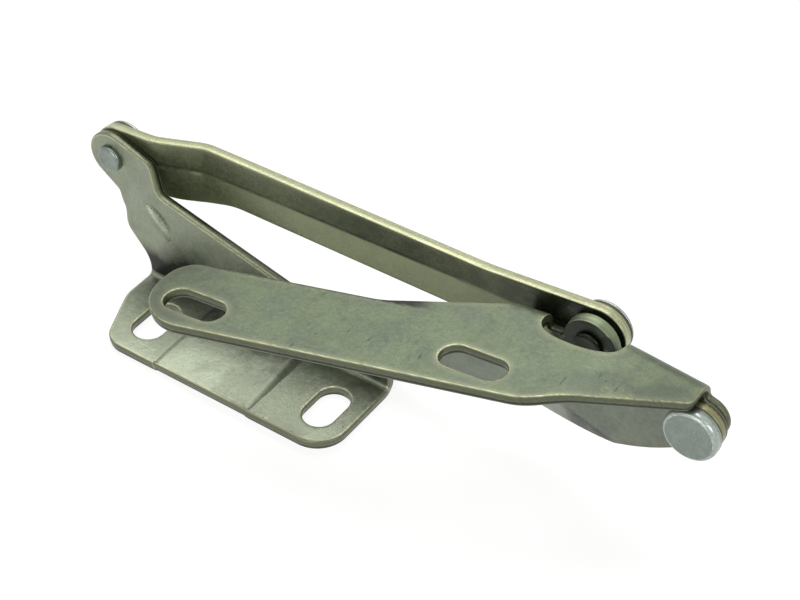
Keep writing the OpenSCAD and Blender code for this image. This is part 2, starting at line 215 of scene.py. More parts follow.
def ramp(x, start, end, soft):
    """Straight climb from 0 at start to 1 at end, both corners rounded."""
    return (above_zero(x - start, soft) - above_zero(x - end, soft)) / (end - start)


def smooth(x, start, end):
    """S-curve 3t^2 - 2t^3 from 0 at start to 1 at end."""
    t = np.clip((x - start) / (end - start), 0, 1)
    return t * t * (3 - 2 * t)


# ---------- meshes ----------

GRID = 0.9  # spacing of a sheet's inner points
FINE_GRID = 0.32  # the same where it has small relief
EDGE_MARGIN = 0.3  # clear strip between inner points and an edge
FAR_FROM_EDGE = 9.0
AROUND = 96  # points round a turned piece
HAMMER_SEED = 14


def new_piece(name, vertices, faces, marks, body, replaced, material):
    """Mesh object from whole arrays in millimetres, riding on its CAD body."""
    mesh = bpy.data.meshes.new(name)
    mesh.from_pydata((vertices * MM).tolist(), [], faces)
    for mark, values in marks.items():
        attribute = mesh.attributes.new(mark, "FLOAT", "POINT")
        attribute.data.foreach_set("value", values.astype(np.float32))
    mesh.polygons.foreach_set("use_smooth", np.ones(len(mesh.polygons), bool))
    mesh.materials.append(material)
    mesh.update()
    piece = bpy.data.objects.new(name, mesh)
    bpy.context.scene.collection.objects.link(piece)
    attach(piece, body)
    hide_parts(replaced)


def sheared_edge(roll, front_fall, back_fall, fracture):
    """Section of a sheared edge as (inset, height) rows: rolled over at the front, smooth down to
    the middle, then torn back by fracture, and slightly rounded at the back."""
    turn = np.radians(np.linspace(0, 90, 5))
    front = np.column_stack([roll * (1 - np.sin(turn)), SHEET / 2 - front_fall * (1 - np.cos(turn))])
    wall = [[0, 0.35], [0.02, 0.05], [fracture * 0.7, -0.12], [fracture, -SHEET / 4]]
    back = np.column_stack(
        [
            fracture + (roll - fracture) * (1 - np.cos(turn)),
            -SHEET / 2 + back_fall * (1 - np.sin(turn)),
        ]
    )
    return np.vstack([front, wall, back])


def triangular_grid(low_corner, high_corner, spacing):
    """Points of a grid of near-equilateral triangles over a rectangle."""
    columns = np.arange(low_corner[0], high_corner[0], spacing)
    rows = np.arange(low_corner[1], high_corner[1], spacing * 0.866)
    across, up = np.meshgrid(columns, rows)
    across = across + (np.arange(len(rows)) % 2)[:, None] * spacing / 2
    return np.column_stack([across.ravel(), up.ravel()])


def inward(loop):
    """Unit directions across a loop, to the left of the way round it."""
    tangent = np.roll(loop, -1, 0) - np.roll(loop, 1, 0)
    tangent /= np.hypot(*tangent.T)[:, None]
    return np.column_stack([-tangent[:, 1], tangent[:, 0]])


def in_sheet(points, loops):
    """True for each point inside the first loop and outside all the others."""
    keep = inside(points, loops[0])
    for hole in loops[1:]:
        keep &= ~inside(points, hole)
    return keep


def inner_points(loops, low_corner, high_corner, fine):
    """Grid points of a sheet, closer together in the fine rectangles (u0, v0, u1, v1)."""
    grid = triangular_grid(low_corner, high_corner, GRID)
    for u0, v0, u1, v1 in fine:
        within = (grid[:, 0] > u0) & (grid[:, 0] < u1) & (grid[:, 1] > v0) & (grid[:, 1] < v1)
        patch = triangular_grid((u0 + 0.2, v0 + 0.2), (u1 - 0.1, v1 - 0.1), FINE_GRID)
        grid = np.vstack([grid[~within], patch])
    grid = grid[in_sheet(grid, loops)]
    return grid[nearest(grid, np.vstack(loops)) > EDGE_MARGIN]


def sheet_triangles(flat, loops, starts):
    """Anticlockwise Delaunay triangles over the flat points. The loops, whose points come first and
    begin at starts, are kept as edges, and the holes stay open."""
    rims = []
    for start, end in zip(starts[:-1], starts[1:]):
        rims += [(i, (i + 1 - start) % (end - start) + start) for i in range(start, end)]
    _, _, triangles, origin, _, _ = delaunay_2d_cdt([Vector(p) for p in flat], rims, [], 0, 1e-6)
    first = np.array([o[0] for o in origin])
    triangles = first[np.array(triangles)]
    triangles = triangles[in_sheet(flat[triangles].mean(1), loops)]
    p, q, r = (flat[triangles[:, k]] for k in range(3))
    area = (q - p)[:, 0] * (r - p)[:, 1] - (q - p)[:, 1] * (r - p)[:, 0]
    triangles[area < 0] = triangles[area < 0][:, ::-1]
    return triangles[np.abs(area) > 1e-9]


def raised(surface, uv, height):
    """surface + height * n, where n is the unit cross product of the surface's two slopes."""
    tiny = 0.01
    u, v = uv[:, 0], uv[:, 1]
    slope_u = surface(u + tiny, v) - surface(u - tiny, v)
    slope_v = surface(u, v + tiny) - surface(u, v - tiny)
    normal = np.cross(slope_u, slope_v)
    normal /= np.linalg.norm(normal, axis=1)[:, None]
    return surface(u, v) + normal * np.broadcast_to(height, len(uv))[:, None]


def sheet_piece(name, edge, holes, surface, body, material, section, fine=(), marks=()):
    """Sheet of steel. Its flat shape is an edge loop and hole loops in (u, v), and surface(u, v) is
    the middle of the sheet in space, from which both faces are raised by half the thickness. Each
    edge is a section carried round its loop: the same one for all loops, or a list with one for
    each. fine lists rectangles where small relief needs a finer grid. marks pairs the name of an
    attribute with the function of (u, v) that gives its value."""
    loops = [even(edge)] + [even(hole)[::-1] for hole in holes]
    sections = section if isinstance(section, list) else [section] * len(loops)
    sideways = [inward(loop) for loop in loops]
    insets = [loop + side * cut[0, 0] for loop, side, cut in zip(loops, sideways, sections)]
    flat = np.vstack(insets + [inner_points(insets, loops[0].min(0), loops[0].max(0), fine)])
    starts = np.cumsum([0] + [len(loop) for loop in insets])
    triangles = sheet_triangles(flat, insets, starts)

    # Both faces
    count = len(flat)
    away = nearest(flat, np.vstack(loops))
    vertices = [raised(surface, flat, SHEET / 2), raised(surface, flat, -SHEET / 2)]
    pattern = [flat, flat]
    values = {
        "edge": [np.zeros(2 * count)],
        "depth": [np.ones(count), np.zeros(count)],
        "away": [away, away],
    }
    faces = triangles.tolist() + (triangles[:, ::-1] + count).tolist()
    total = 2 * count

    # Each edge's section, ring by ring from the front face to the back
    for start, loop, side, cut in zip(starts, loops, sideways, sections):
        size = len(loop)
        ring = np.arange(size)
        levels = [start + ring]
        for inset, height in cut[1:-1]:
            pattern.append(loop + side * inset)
            vertices.append(raised(surface, pattern[-1], height))
            on_wall = abs(height) < 0.36 * SHEET
            values["edge"].append(np.full(size, 1.0 if on_wall else 1 - inset / cut[0, 0]))
            values["depth"].append(np.full(size, height / SHEET + 0.5))
            values["away"].append(np.full(size, inset))
            levels.append(total + ring)
            total += size
        levels.append(count + start + ring)
        near = np.array(levels)
        on = np.roll(near, -1, 1)
        faces += np.stack([near[:-1], near[1:], on[1:], on[:-1]], -1).reshape(-1, 4).tolist()

    values = {mark: np.concatenate(parts) for mark, parts in values.items()}
    for mark, paint in marks:
        values[mark] = paint(*np.vstack(pattern).T)
    new_piece(name, np.vstack(vertices), faces, values, body, name[:-6], material)


def turned_piece(name, pivot, profile, body, material, painted_shade, unround):
    """Body of revolution: (radius, depth) points of the profile carried round the pivot's axis along
    Y. unround adds a few slow waves to the radius, as hammering does. painted_shade is two rows,
    depths and the painted shade there."""
    profile = np.array(profile, float)
    turn = np.linspace(0, 2 * np.pi, AROUND, endpoint=False)
    chance = np.random.default_rng(HAMMER_SEED)
    waves = sum(chance.normal() * np.cos(k * turn + chance.uniform(0, 6.28)) / k for k in (2, 3, 5, 7))
    radius = profile[:, 0, None] * (1 + unround * waves[None, :])
    x = pivot[0] + radius * np.cos(turn)
    z = pivot[1] + radius * np.sin(turn)
    y = np.broadcast_to(profile[:, 1, None], x.shape)
    vertices = np.stack([x, y, z], -1).reshape(-1, 3)
    near = np.arange(len(vertices)).reshape(len(profile), AROUND)
    on = np.roll(near, -1, 1)
    quads = np.stack([near[:-1], on[:-1], on[1:], near[1:]], -1)
    faces = quads.reshape(-1, 4).tolist() + [near[0][::-1].tolist(), near[-1].tolist()]
    if profile[-1, 1] > profile[0, 1]:
        faces = [face[::-1] for face in faces]
    rim = profile[:, 0] > 0.86 * profile[:, 0].max()
    marks = {
        "edge": np.repeat(np.where(rim, 1.0, 0.0), AROUND),
        "depth": np.ones(len(vertices)),
        "away": np.full(len(vertices), FAR_FROM_EDGE),
        "painted_shade": np.repeat(np.interp(profile[:, 1], *painted_shade), AROUND),
    }
    new_piece(name, vertices, faces, marks, body, name[:-6], material)


# ---------- materials ----------


def linear(code):
    """sRGB hex colour to linear red, green, blue and alpha."""
    srgb = np.array([int(code[i : i + 2], 16) for i in (1, 3, 5)]) / 255
    values = np.where(srgb <= 0.04045, srgb / 12.92, ((srgb + 0.055) / 1.055) ** 2.4)
    return (*values.tolist(), 1.0)


def add_node(tree, kind, inputs, out=0, **settings):
    """New node with its settings. Its inputs are values, or sockets to link, and it gives back the
    socket that it puts out."""
    made = tree.nodes.new("ShaderNode" + kind)
    for key, value in settings.items():
        setattr(made, key, value)
    for key, value in inputs.items():
        if isinstance(value, bpy.types.NodeSocket):
            tree.links.new(value, made.inputs[key])
        else:
            made.inputs[key].default_value = value
    return made.outputs[out] if made.outputs else made


SOFT = {"interpolation_type": "SMOOTHSTEP"}
PIT_SPACING = 3.5  # mm


def new_tree(owner):
    """Empty node tree of a material or world, and the function that adds nodes to it."""
    owner.use_nodes = True
    owner.node_tree.nodes.clear()
    return partial(add_node, owner.node_tree)


def shade(colour, factor):
    """The same colour, lighter or darker."""
    return tuple(min(1, c * factor) for c in colour[:3]) + (1.0,)


def noise_masks(node):
    """Masks from noise alone, by name. Each one rises smoothly from 0 to 1 between two levels."""
    place = node("TexCoord", {}, "Object")
    in_mm = node("Mapping", {"Vector": place, "Scale": (1 / MM,) * 3})
    along = node("Mapping", {"Vector": place, "Scale": (50, 1 / MM, 1 / MM)})
    one_way = node(
        "Mapping", {"Vector": place, "Rotation": (0.2, 0.3, 0.75), "Scale": (160, 1300, 1300)}
    )
    other_way = node(
        "Mapping", {"Vector": place, "Rotation": (0.1, -0.4, -0.9), "Scale": (1400, 200, 1400)}
    )
    # Where the noise is read, its size in mm, its detail and roughness, and the two levels. The
    # real grain is finer than 0.1 mm and wouldn't show, so it is drawn at 0.6. The last three are
    # stretched to 6 to 10 mm, streaks along X and the others aslant.
    patterns = {
        "clouds": (in_mm, 9, 5, 0.6, 0.42, 0.58),
        "patches": (in_mm, 3.2, 6, 0.7, 0.50, 0.70),
        "mottle": (in_mm, 1.3, 5, 0.7, 0.42, 0.62),
        "grain": (in_mm, 0.6, 4, 0.6, 0.30, 0.70),
        "soiled": (in_mm, 11, 2, 0.5, 0.52, 0.66),
        "streaks": (along, 0.5, 4, 0.6, 0.30, 0.70),
        "rubbed": (one_way, 1.5, 3, 0.5, 0.64, 0.72),
        "scored": (other_way, 1.3, 2, 0.5, 0.67, 0.73),
    }
    mask = {}
    for key, (vector, size, detail, rough, start, end) in patterns.items():
        noise = node(
            "TexNoise",
            {"Vector": vector, "Scale": 1 / size, "Detail": detail, "Roughness": rough},
        )
        mask[key] = node("MapRange", {0: noise, 1: start, 2: end}, **SOFT)
    cells = node("TexVoronoi", {"Vector": in_mm, "Scale": 1 / PIT_SPACING, "Randomness": 1.0})
    pits = node("MapRange", {0: cells, 1: 0.10, 2: 0.04}, **SOFT)
    mask["pits"] = node("Math", {0: pits, 1: mask["soiled"]}, operation="MULTIPLY")
    mask["scores"] = node("Math", {0: mask["scored"], 1: mask["soiled"]}, operation="MULTIPLY")
    return mask


def edge_masks(node, mask):
    """Masks that follow a sheet's edges, roughened by the noise in mask: the border beside an edge,
    the painted highlight on the roll-over at the front, the whole wall, its streaks and its torn half."""
    edge, depth, away = (
        node("Attribute", {}, "Fac", attribute_name=mark) for mark in ("edge", "depth", "away")
    )
    ragged = node("Math", {0: mask["mottle"], 1: 0.5, 2: away}, operation="MULTIPLY_ADD")
    torn_from = node("Math", {0: mask["grain"], 1: 0.10, 2: depth}, operation="MULTIPLY_ADD")
    rolled = node("MapRange", {0: edge, 1: 0.02, 2: 0.35}, **SOFT)
    front = node("MapRange", {0: depth, 1: 0.55, 2: 0.75}, **SOFT)
    # painted highlight: broken, streaky light along the front roll-over
    broken_highlight = node("Math", {0: mask["streaks"], 1: 0.9, 2: 0.1}, operation="MULTIPLY_ADD")
    broken_highlight = node("Math", {0: broken_highlight, 1: front}, operation="MULTIPLY")
    wall = node("MapRange", {0: edge, 1: 0.50, 2: 0.95}, **SOFT)
    torn = node("MapRange", {0: torn_from, 1: 0.50, 2: 0.34}, **SOFT)
    return {
        "border": node("MapRange", {0: ragged, 1: 2.4, 2: 0.3}, **SOFT),
        "rolled": node("Math", {0: rolled, 1: broken_highlight}, operation="MULTIPLY"),
        "wall": wall,
        "streaked": node("Math", {0: wall, 1: mask["streaks"]}, operation="MULTIPLY"),
        "torn": node("Math", {0: wall, 1: torn}, operation="MULTIPLY"),
    }


def painted_light_masks(node, mask, behind):
    """The painted shade and painted highlights, made uneven by the clouds. The painted shade keeps off
    the sheared wall, and behind is its share on a sheet's back."""
    depth, painted_shade, pressed = (
        node("Attribute", {}, "Fac", attribute_name=mark) for mark in ("depth", "painted_shade", "pressed")
    )
    uneven = node("Math", {0: mask["clouds"], 1: 0.3, 2: 0.85}, operation="MULTIPLY_ADD")
    on_front = node("MapRange", {0: depth, 1: 0.1, 2: 0.5, 3: behind, 4: 1.0})
    shade_share = node("Math", {0: painted_shade, 1: uneven}, operation="MULTIPLY")
    shade_share = node("Math", {0: shade_share, 1: on_front}, operation="MULTIPLY")
    kept_off = {0: mask["wall"], 1: -0.9, 2: shade_share}
    return {
        "painted_shade": node("Math", kept_off, operation="MULTIPLY_ADD", use_clamp=True),
        "pressed": node("Math", {0: pressed, 1: uneven}, operation="MULTIPLY", use_clamp=True),
    }


def added_up(node, mask, total, amounts):
    """total, plus each named mask times its amount."""
    for key, amount in amounts.items():
        total = node("Math", {0: mask[key], 1: amount, 2: total}, operation="MULTIPLY_ADD")
    return total


def plated_steel(
    name, face, cool, rim, wall, roughness=0.36, metal=0.5, dirt_and_shade=1.0, sheen=1.0, behind=0.2,
    torn_tone=0.25,
):
    """Zinc plate over cold-rolled or pressed mild steel. The face is satin, clouded between two
    tones, with fine grain, short rubbed scratches, soiled patches and pits. On a sheared edge the
    roll-over gets a painted highlight, the wall is streaked along its length, and the torn half is
    dark. Painted shade is laid where the painted_shade mark is, and painted highlights where the
    pressed mark is. dirt_and_shade scales the dirt and sheen the painted rim highlights,
    behind is the painted shade's share on a sheet's back, and torn_tone is how light the torn half
    is beside the wall."""
    face, cool, rim, wall = (linear(code) for code in (face, cool, rim, wall))
    material = bpy.data.materials.new(name)
    node = new_tree(material)
    mask = noise_masks(node)
    mask |= edge_masks(node, mask)
    mask |= painted_light_masks(node, mask, behind)
    layers = (
        ("clouds", 0.8, cool),
        ("patches", 0.42 * dirt_and_shade, shade(cool, 0.62)),
        ("mottle", 0.30 + 0.22 * dirt_and_shade, shade(face, 1.3)),
        ("grain", 0.08 + 0.26 * dirt_and_shade, shade(face, 0.64)),
        ("soiled", 0.16 * dirt_and_shade, shade(cool, 0.55)),
        ("rubbed", 0.16 * dirt_and_shade, shade(face, 1.5)),
        ("scores", 0.7 * dirt_and_shade, shade(cool, 0.3)),
        ("pits", 0.75, shade(cool, 0.3)),
        ("border", 0.4, shade(rim, 0.5)),
        # painted highlight on the front roll-over of each sheared edge
        ("rolled", 0.95 * sheen, rim),
        ("wall", 1.0, wall),
        ("streaked", 0.55, shade(wall, 1.6)),
        ("torn", 1.0, shade(wall, torn_tone)),
        # painted highlights: bright lines and bands from the pressed mark
        ("pressed", 0.9, shade(face, 1.75)),
        # painted shade: a dark olive where the painted_shade mark stands for shadow and dark
        # reflection
        ("painted_shade", 1.0, linear("#20251a")),
    )
    tone = face
    for key, amount, colour in layers:
        share = node("Math", {0: mask[key], 1: amount}, operation="MULTIPLY")
        tone = node("Mix", {0: share, 6: tone, 7: colour}, 2, data_type="RGBA")
    rough = added_up(
        node, mask, roughness - 0.06, {"clouds": 0.05, "mottle": 0.07, "rubbed": -0.08, "pits": 0.2}
    )
    relief = added_up(
        node, mask, 0.0,
        {
            "mottle": 0.5, "grain": 0.35, "patches": 0.3, "rubbed": -0.2, "scores": -0.7,
            "pits": -1.2,
        },
    )
    bump = node("Bump", {"Height": relief, "Strength": 0.3, "Distance": 0.1 * MM})
    shader = node(
        "BsdfPrincipled",
        {"Base Color": tone, "Metallic": metal, "Roughness": rough, "Normal": bump},
    )
    node("OutputMaterial", {"Surface": shader})
    return material


# Thin yellow-green passivation over satin zinc: a pale grey-green with a soft, even sheen
base_steel = plated_steel(
    "satin zinc plate, base bracket", "#9da58f", "#929984", "#d4d6b4", "#6c7158", dirt_and_shade=0.4
)
# The same plate in a darker, mottled green, more soiled, with painted highlights on its rims
hood_steel = plated_steel(
    "satin zinc plate, hood bracket", "#6f7b5f", "#656f61", "#dcdcb2", "#5c624b",
    roughness=0.40, dirt_and_shade=1.3, behind=1.0,
)
# Olive passivation, rubbed smooth by the press: a dark green, partly painted shade for the dark
# reflection on its upright face, with a light, glossy edge
long_steel = plated_steel(
    "olive zinc plate, long link", "#6d7459", "#60674d", "#c4c69c", "#b2b58f",
    roughness=0.32, dirt_and_shade=0.9, sheen=0.4, torn_tone=0.8,
)
# Thin passivation on a link that the plate above it shelters: grey-green with duller, olive edges
short_steel = plated_steel(
    "satin zinc plate, short link", "#8a9282", "#80887a", "#a9aa82", "#86865f",
    roughness=0.34, dirt_and_shade=0.6,
)
# Cold-headed wire, plated without colour: cooler, smoother and more metallic than the sheets
rivet_steel = plated_steel(
    "bright zinc plate, rivets", "#8a948c", "#818b84", "#dfe6df", "#98a29a",
    roughness=0.26, metal=0.8, dirt_and_shade=0.8,
)
# Porous metal, soaked with oil: a dull, dark brown rim
bush_bronze = plated_steel(
    "sintered bronze, bushes", "#585642", "#4c4b39", "#6a684f", "#474633",
    roughness=0.5, dirt_and_shade=0.5,
)
# Punched from plated strip and greasy: a dull mid grey
washer_steel = plated_steel(
    "zinc plate, washers", "#7f857a", "#72786e", "#99a08f", "#63685c", roughness=0.42
)

# ---------- base bracket ----------

BASE_FRONT = -low("base_bracket")[1]
BASE_LEFT = -42.5
BASE_RIGHT = high("base_bracket")[0] - 1
SLOT_PITCH = 57.0
BASE_SLOT = (9, 15)  # width and length
BASE_EAR_RADIUS = 7.5
BASE_BEND = 1.3  # inner radius of the fold
BASE_FOLD_START = WEB_FRONT - BASE_BEND
BASE_BEND_MID = BASE_BEND + SHEET / 2
BASE_FOLD_END = BASE_FOLD_START + BASE_BEND_MID * np.pi / 2
BASE_FOLD_TOP = SHEET + BASE_BEND  # height at which the web starts
PANEL = (-17.9, 12.3)
PANEL_RISE = (0.3, 2.0)  # at the front edge and at the fold
JOGGLE_ANGLE = np.radians(42)
JOGGLE_AT = PIVOT_A + np.array([11.2, -5.6])
JOGGLE_HALF = 3.5
RIB = (PIVOT_A + np.array([15.2, -8.2]), PIVOT_A + np.array([20.8, -14.0]))
RIB_HEIGHT = 1.0
RIB_HALF_WIDTH = 1.25
DISH_DEPTH = 0.75
DISH_HALF_WIDTH = 2.5
SHADE_REACH = (10, 24)  # height up the web at which the fold's painted shade ends: at its left, elsewhere


def panel_rise(x, y):
    """Lift of the middle panel: it grows from the front edge to the fold, between two creases
    that widen on the way."""
    share = np.clip((y + BASE_FRONT) / (WEB_FRONT + BASE_FRONT), 0, 1)
    wide = 0.5 + 1.1 * share
    left = smooth(x, PANEL[0] - wide * 0.6, PANEL[0] + wide * 0.6)
    right = 1 - smooth(x, PANEL[1] - wide * 1.4, PANEL[1] + wide * 0.6)
    return (PANEL_RISE[0] + (PANEL_RISE[1] - PANEL_RISE[0]) * share) * left * right


def rib_height(x, z):
    """Pressed rib: (1 - (d/w)^2)^2 of the distance d across it, fading to both ends, beside a
    shallow oval dish."""
    start, end = RIB
    run = end - start
    length = np.hypot(*run)
    along = ((x - start[0]) * run[0] + (z - start[1]) * run[1]) / length
    across = ((x - start[0]) * run[1] - (z - start[1]) * run[0]) / length
    reach = (along - length / 2) / (length / 2 + 2.2)
    ends = np.clip(1 - reach**2, 0, 1) ** 0.8
    crest = np.clip(1 - (across / RIB_HALF_WIDTH) ** 2, 0, 1) ** 2 * ends
    dish = np.clip(1 - ((across + 2.3) / DISH_HALF_WIDTH) ** 2 - reach**2, 0, 1) ** 2
    return RIB_HEIGHT * crest - DISH_DEPTH * dish


def base_surface(x, s):
    """Flange (s is Y), then a quarter turn of the fold, then the web, where s goes on as Z. The web
    steps back at the joggle and its rib stands forward."""
    turn = np.clip((s - BASE_FOLD_START) / BASE_BEND_MID, 0, np.pi / 2)
    y = np.where(s < BASE_FOLD_START, s, BASE_FOLD_START + BASE_BEND_MID * np.sin(turn))
    lift = np.maximum(s - BASE_FOLD_END, 0)
    z = SHEET / 2 + BASE_BEND_MID * (1 - np.cos(turn)) + lift
    z = z + panel_rise(x, np.minimum(s, WEB_FRONT)) * (1 - smooth(lift, 0, 12))
    across = (x - JOGGLE_AT[0]) * np.cos(JOGGLE_ANGLE) - (z - JOGGLE_AT[1]) * np.sin(JOGGLE_ANGLE)
    step = (EAR_FRONT - WEB_FRONT) * (1 - ramp(across, -JOGGLE_HALF, JOGGLE_HALF, 0.9))
    on_web = smooth(lift, 0, 2)
    y = y + step * on_web - rib_height(x, z) * on_web
    return np.stack([x, y, z], -1)


def web_s(z):
    """Place along the base's flat pattern of a height on its web."""
    return BASE_FOLD_END + z - BASE_FOLD_TOP


def base_outline():
    """Edge of the flat pattern: rounded corners of the flange, up the web's right end, along its top
    to the round ear, and down its left end."""
    ear = (PIVOT_A[0], web_s(PIVOT_A[1]))
    below = (PIVOT_A[0] + 4.4, web_s(PIVOT_A[1] - 12.4))
    above = (PIVOT_A[0] + 12.6, web_s(PIVOT_A[1] + 3.6))
    return outline(
        (BASE_LEFT + 7.2, -BASE_FRONT, 7),
        (BASE_RIGHT, -BASE_FRONT, 9),
        (BASE_RIGHT, web_s(12), 5),
        (BASE_RIGHT + 1, web_s(PIVOT_C[1] + 6.6), 6),
        (PIVOT_C[0] - 18, web_s(PIVOT_C[1] + 7.8), 14),
        (PIVOT_A[0] + 20.1, web_s(PIVOT_A[1] - 1.9), 8),
        (*above, 5),
        round_end(above, ear, BASE_EAR_RADIUS, below),
        (*below, 3),
        (PIVOT_A[0] + 7.4, web_s(PIVOT_A[1] - 13.4), 2),
        (PIVOT_A[0] + 7.2, web_s(PIVOT_A[1] - 17.2), 5),
        (BASE_LEFT, web_s(8.2), 9),
        (BASE_LEFT, 4, 12),
    )


def base_painted_shade(x, s):
    """Painted shade in the fold, for its shadow and dark reflection. It fades out 10 to 24 mm up the
    web, least at the left, and across the back of the flange, further out on the panel."""
    reach = SHADE_REACH[0] + (SHADE_REACH[1] - SHADE_REACH[0]) * smooth(x, BASE_LEFT, BASE_LEFT + 16)
    up_web = 1 - smooth(s - BASE_FOLD_END, 3, reach)
    on_panel = smooth(x, PANEL[0] - 1, PANEL[0] + 1) * (1 - smooth(x, PANEL[1] - 1, PANEL[1] + 1))
    across_flange = smooth(s, -4 - 8 * on_panel, BASE_FOLD_START) * (0.42 + 0.4 * on_panel)
    web_share = 1.1 - 0.42 * smooth(x, -24, 6)
    return np.where(s > BASE_FOLD_END, web_share * up_web, across_flange)


def base_pressed(x, s):
    """Painted highlights: narrow bright lines along the left crease and along the fold, where they
    are strongest at the right."""
    crease = np.clip(1 - ((x - PANEL[0] + 0.5) / 0.45) ** 2, 0, 1) * (s < BASE_FOLD_START)
    middle_of_fold = (BASE_FOLD_START + BASE_FOLD_END) / 2
    fold = np.clip(1 - ((s - middle_of_fold) / 0.9) ** 2, 0, 1)
    return 0.6 * crease + 0.7 * fold * (1 - 0.6 * smooth(x, -30, -20) + 0.6 * smooth(x, 14, 24))


def base_bracket():
    """Base bracket, with a finer mesh at the panel's creases, the rib and the fold's right end."""
    slots = [stadium((side * SLOT_PITCH / 2, 0), *BASE_SLOT, 90) for side in (-1, 1)]
    bores = [arc((p[0], web_s(p[1])), TENON_BORE, 0, 360, 0.4)[:-1] for p in (PIVOT_A, PIVOT_C)]
    front = -BASE_FRONT
    sheet_piece(
        "base_bracket_metal", base_outline(), slots + bores, base_surface, "base",
        base_steel, sheared_edge(0.8, 0.4, 0.9, 0.2),
        [
            (PANEL[0] - 1.6, front, PANEL[0] + 1.6, web_s(14)),
            (PANEL[1] - 3.2, front, PANEL[1] + 2.0, web_s(14)),
            (RIB[0][0] - 6, web_s(RIB[1][1] - 3), RIB[1][0] + 4, web_s(RIB[0][1] + 5)),
            (PANEL[1] + 2.0, BASE_FOLD_START - 1, BASE_RIGHT, BASE_FOLD_END + 1),
        ],
        [("painted_shade", base_painted_shade), ("pressed", base_pressed)],
    )


# ---------- links ----------

LONG_END_RADIUS = 7.6
LONG_HEIGHT = 15.0
LONG_STEP = (PIVOT_A[0] + 12, PIVOT_A[0] + 26)
LONG_LEAN = np.tan(np.radians(11))
SHORT_ROOT_RADIUS = 8.0
SHORT_END_RADIUS = 6.9
SHORT_LEAN = np.tan(np.radians(20))


def long_fold(x):
    """Height of the long link's fold line, which is straight."""
    start, end = PIVOT_A + np.array([12, 1.2]), PIVOT_B - np.array([20, 1.9])
    return start[1] + (end[1] - start[1]) * (x - start[0]) / (end[0] - start[0])


def long_surface(x, z):
    """Upright sheet that steps back past its end at the base. Under the fold line its lower band
    leans forward, fading out towards both pivots."""
    front = LONG_A_FRONT + (LONG_B_FRONT - LONG_A_FRONT) * ramp(x, *LONG_STEP, 1.3)
    share = smooth(x, PIVOT_A[0] + 8, PIVOT_A[0] + 22)
    share = share * (1 - smooth(x, PIVOT_B[0] - 38, PIVOT_B[0] - 14))
    lean = LONG_LEAN * above_zero(long_fold(x) - z, 0.5) * share
    return np.stack([x, front + SHEET / 2 - lean, z], -1)


def long_pressed(x, z):
    """Painted reflection: the leaning band is lighter, more so away from the ends, and beside the
    crease a broken painted highlight runs near the base."""
    under = long_fold(x) - z
    band = smooth(under, -0.3, 0.7) * smooth(x, PIVOT_A[0] + 14, PIVOT_A[0] + 60)
    scuff = np.clip(1 - ((under - 0.9) / 0.6) ** 2, 0, 1) * (1 - smooth(x, PIVOT_A[0] + 30, -15))
    scuff = scuff * np.clip(0.3 + np.sin(0.9 * x) * np.sin(0.37 * x + 1), 0, 1)
    return np.maximum(0.9 * band, scuff) * (1 - smooth(x, 50, 95))


def long_painted_shade(x, z):
    """Painted shade above the fold, towards the hood end, in the corner by the step and, as a dark
    line, along the crease."""
    upper = smooth(z - long_fold(x), -0.6, 0.6)
    corner = (1 - upper) * smooth(x, PIVOT_A[0] + 10, PIVOT_A[0] + 16)
    corner = corner * (1 - smooth(x, PIVOT_A[0] + 22, PIVOT_A[0] + 36))
    crease = np.clip(1 - ((long_fold(x) - z + 0.2) / 0.7) ** 2, 0, 1) * (1 - smooth(x, 30, 60))
    worn = 0.45 * upper * smooth(x, -10, 30) + 0.05 * corner + 0.55 * smooth(x, 60, 84)
    return worn + 0.5 * crease * smooth(x, PIVOT_A[0] + 8, PIVOT_A[0] + 16)


def long_outline():
    """Round ends about both pivots, joined by a band of nearly even height, shifted upward."""
    top = PIVOT_A[1] + 10.4
    under = (PIVOT_A[0] + 17, PIVOT_A[1] - LONG_END_RADIUS - 1)
    over = (PIVOT_A[0] + 28, top - 0.5)
    under_b = (PIVOT_B[0] - 41, top + 1.5 - LONG_HEIGHT)
    over_b = (PIVOT_B[0] - 33, top + 1.4)
    return outline(
        (*under, 30),
        (PIVOT_A[0] + 26, PIVOT_A[1] - LONG_END_RADIUS, 12),
        (PIVOT_A[0] + 37, top - LONG_HEIGHT, 25),
        (*under_b, 40),
        round_end(under_b, PIVOT_B, LONG_END_RADIUS, over_b),
        (*over_b, 60),
        (*over, 40),
        round_end(over, PIVOT_A, LONG_END_RADIUS, under),
    )


def long_link():
    """Long link, with a finer mesh along its crease."""
    bores = [arc(p, LONG_BORE, 0, 360)[:-1] for p in (PIVOT_A, PIVOT_B)]
    sheet_piece(
        "long_link_metal", long_outline(), bores, long_surface, "long_arm",
        long_steel, sheared_edge(0.45, 0.35, 0.35, 0.12),
        [(PIVOT_A[0] + 8, long_fold(PIVOT_A[0]) - 2, 50, long_fold(50) + 1.5)],
        [("pressed", long_pressed), ("painted_shade", long_painted_shade)],
    )


def short_fold(x):
    """Height of the short link's slanting fold line."""
    start, end = PIVOT_C + np.array([30, 18.8]), PIVOT_D - np.array([10.5, 19.7])
    return start[1] + (end[1] - start[1]) * (x - start[0]) / (end[0] - start[0])


def short_surface(x, z):
    """Upright sheet whose lower left part is folded back along a slanting line."""
    share = smooth(x, PIVOT_C[0] + 30, PIVOT_C[0] + 50)
    lean = SHORT_LEAN * above_zero(short_fold(x) - z, 0.7) * share
    return np.stack([x, SHORT_FRONT + SHEET / 2 + lean, z], -1)


def short_painted_shade(x, z):
    """Painted shade on the folded part and on the metal in the shelter of the hood plate."""
    folded = smooth(short_fold(x) - z, -0.4, 0.8)
    folded = folded * (1 - smooth(x, PIVOT_D[0] - 26, PIVOT_D[0] - 8))
    return (0.12 + 0.85 * folded) * smooth(x, PIVOT_D[0] - 38, PIVOT_D[0] - 31)


